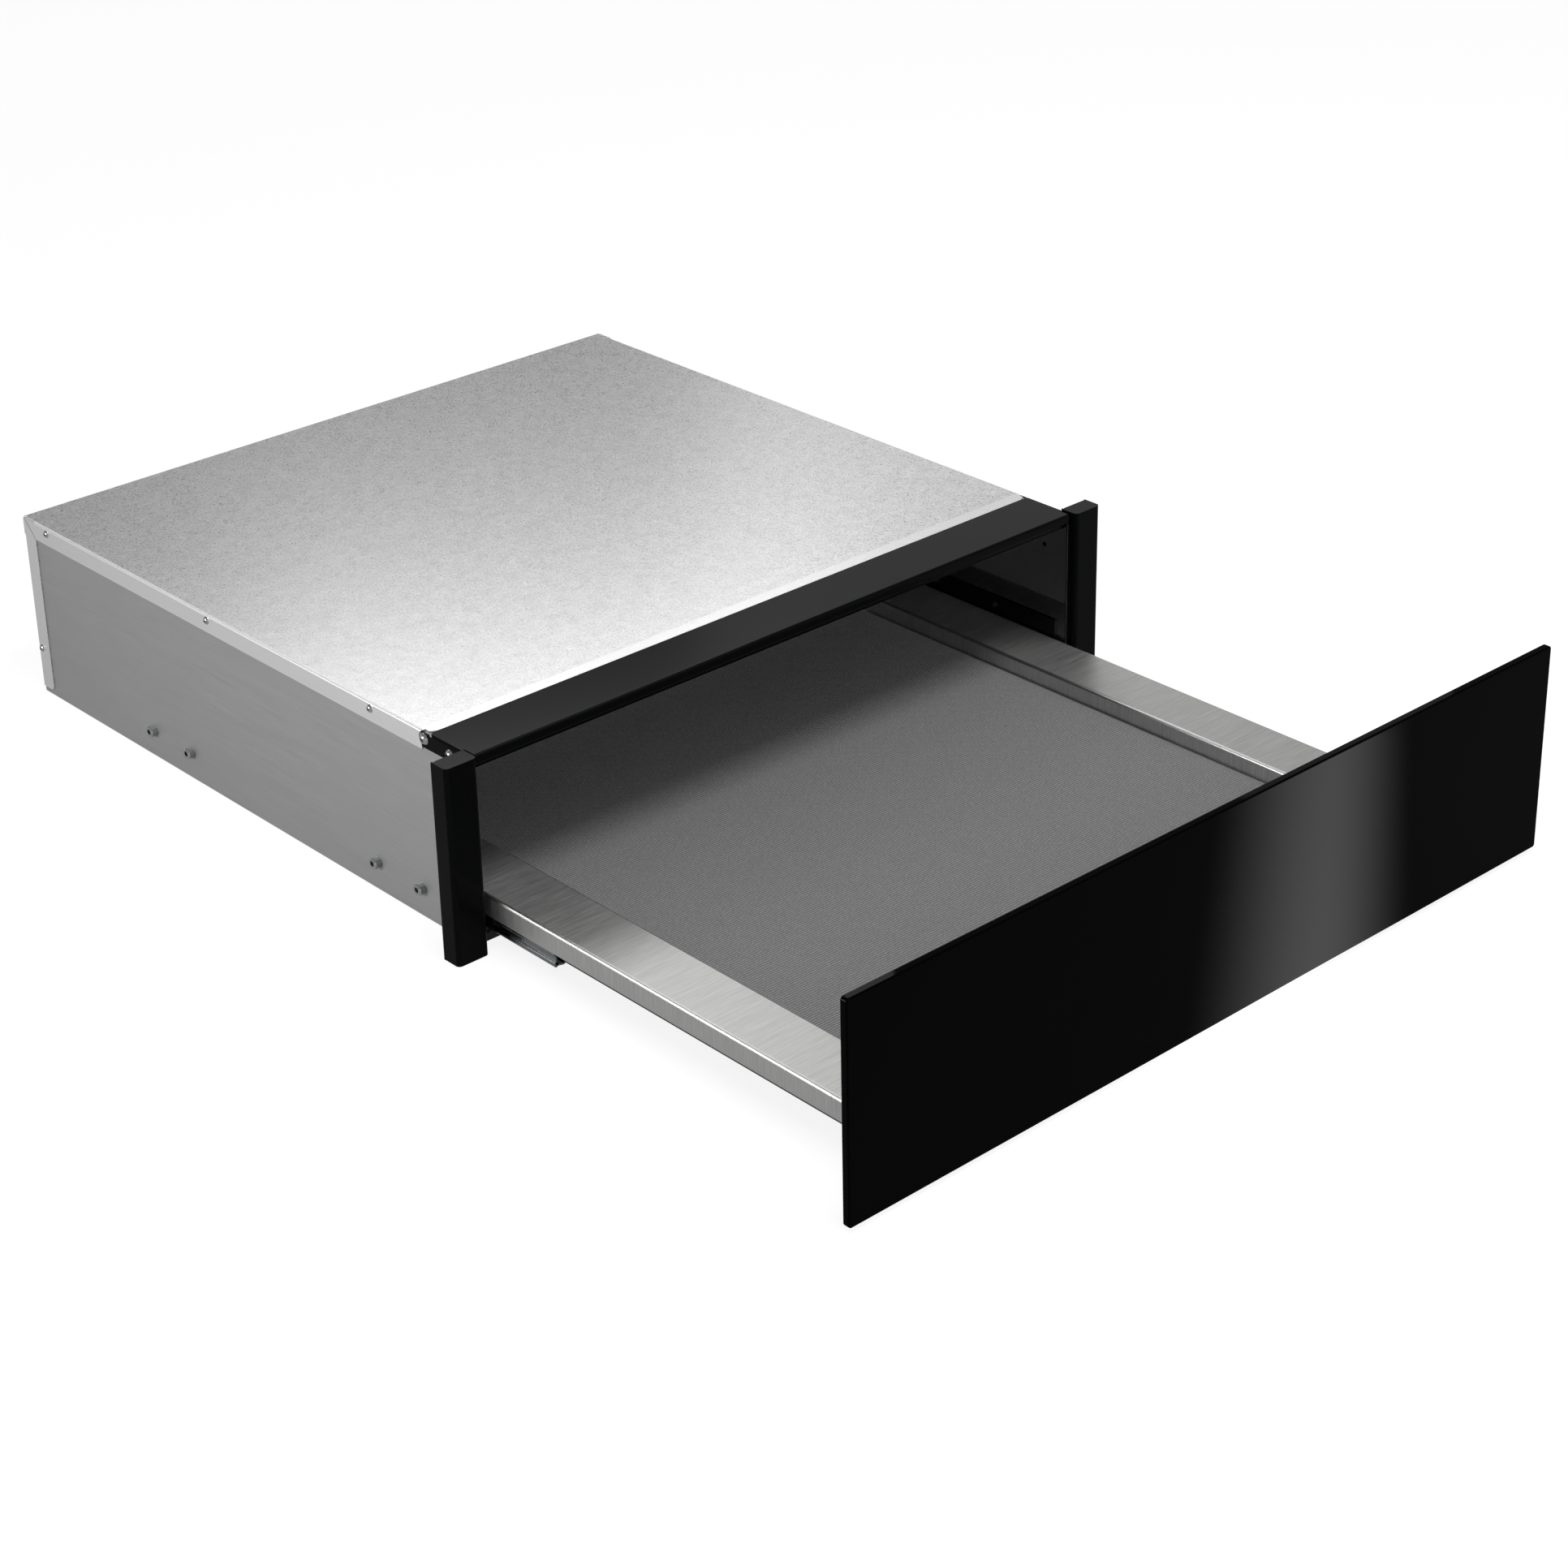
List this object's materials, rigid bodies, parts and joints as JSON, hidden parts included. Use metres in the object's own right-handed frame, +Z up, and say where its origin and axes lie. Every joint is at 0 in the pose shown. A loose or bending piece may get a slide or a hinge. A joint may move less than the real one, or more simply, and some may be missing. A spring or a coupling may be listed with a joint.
{
  "type": "built-in storage drawer",
  "caption": "Low built-in storage drawer: zinc-coated casing, black posts and bar, black glass front, and a stainless tray with a ribbed mat on telescopic ball-bearing runners.",
  "frame": {"origin": "middle of the casing's underside", "axes": "+X to the right, +Y from the front to the back, +Z up; the drawer opens towards -Y"},
  "size_m": [0.594, 0.87, 0.143],
  "materials": {
    "zinc_sheet": "zinc-coated sheet, spangled and satin",
    "liner_steel": "bright rolled stainless steel",
    "black_sheet": "black, satin gloss",
    "runner_steel": "bright zinc plate",
    "cage_steel": "satin",
    "ball_steel": "polished",
    "fastener_steel": "zinc plate",
    "black_fasteners": "black oxide",
    "bracket_steel": "zinc plate",
    "stainless": "brushed across",
    "mat_rubber": "fine ribbed, matt",
    "black_glass": "black backed, polished",
    "catch_plastic": "moulded",
    "plunger_plastic": "moulded",
    "tip_rubber": "soft"
  },
  "bodies": {
    "casing": {"cover": "zinc_sheet", "side_left": "zinc_sheet", "side_right": "zinc_sheet", "floor_pan": "zinc_sheet", "liner_left": "liner_steel", "liner_right": "liner_steel", "face_frame": "black_sheet", "front_bar": "black_sheet", "post_left": "black_sheet", "post_right": "black_sheet", "runner_bracket_left": "black_sheet", "runner_bracket_right": "black_sheet", "outer_runner_left": "runner_steel", "outer_runner_right": "runner_steel", "runner_spacers": "runner_steel", "runner_bolts": "fastener_steel", "cover_screws": "fastener_steel", "bar_screws": "fastener_steel", "frame_rivets": "fastener_steel", "latch_screws": "fastener_steel", "post_screws": "black_fasteners", "latch_housing": "catch_plastic"},
    "drawer": {"glass_front": "black_glass", "front_carrier": "black_sheet", "front_bracket_left": "bracket_steel", "front_bracket_right": "bracket_steel", "bracket_screws": "fastener_steel", "tray": "stainless", "mat": "mat_rubber", "tray_rail_left": "bracket_steel", "tray_rail_right": "bracket_steel", "rail_screws": "fastener_steel", "inner_runner_left": "runner_steel", "inner_runner_right": "runner_steel", "latch_striker": "bracket_steel", "striker_rivets": "fastener_steel"},
    "middle_left": {"middle_runner_left": "runner_steel"},
    "outer_cage_left": {"outer_cage_left": "cage_steel", "outer_balls_left": "ball_steel"},
    "inner_cage_left": {"inner_cage_left": "cage_steel", "inner_balls_left": "ball_steel"},
    "middle_right": {"middle_runner_right": "runner_steel"},
    "outer_cage_right": {"outer_cage_right": "cage_steel", "outer_balls_right": "ball_steel"},
    "inner_cage_right": {"inner_cage_right": "cage_steel", "inner_balls_right": "ball_steel"},
    "plunger": {"latch_plunger": "plunger_plastic", "latch_tip": "tip_rubber"}
  },
  "joints": [
    {"name": "drawer_slide", "type": "slide", "parent": "casing", "child": "drawer", "axis": [0, -1, 0], "range_m": [-0.335, 0.115]},
    {"name": "middle_left_slide", "type": "slide", "parent": "casing", "child": "middle_left", "axis": [0, -1, 0], "range_m": [-0.1675, 0.0575]},
    {"name": "outer_cage_left_slide", "type": "slide", "parent": "casing", "child": "outer_cage_left", "axis": [0, -1, 0], "range_m": [-0.08375, 0.02875]},
    {"name": "inner_cage_left_slide", "type": "slide", "parent": "casing", "child": "inner_cage_left", "axis": [0, -1, 0], "range_m": [-0.25125, 0.08625]},
    {"name": "middle_right_slide", "type": "slide", "parent": "casing", "child": "middle_right", "axis": [0, -1, 0], "range_m": [-0.1675, 0.0575]},
    {"name": "outer_cage_right_slide", "type": "slide", "parent": "casing", "child": "outer_cage_right", "axis": [0, -1, 0], "range_m": [-0.08375, 0.02875]},
    {"name": "inner_cage_right_slide", "type": "slide", "parent": "casing", "child": "inner_cage_right", "axis": [0, -1, 0], "range_m": [-0.25125, 0.08625]},
    {"name": "latch_plunger_press", "type": "slide", "parent": "casing", "child": "plunger", "axis": [0, 1, 0], "range_m": [0, 0.003], "stiffness_N_per_m": 200, "springref_m": -0.015}
  ],
  "couplings": [
    {"joint": "middle_left_slide", "follows": "drawer_slide", "ratio": 0.5},
    {"joint": "outer_cage_left_slide", "follows": "drawer_slide", "ratio": 0.25},
    {"joint": "inner_cage_left_slide", "follows": "drawer_slide", "ratio": 0.75},
    {"joint": "middle_right_slide", "follows": "drawer_slide", "ratio": 0.5},
    {"joint": "outer_cage_right_slide", "follows": "drawer_slide", "ratio": 0.25},
    {"joint": "inner_cage_right_slide", "follows": "drawer_slide", "ratio": 0.75}
  ]
}
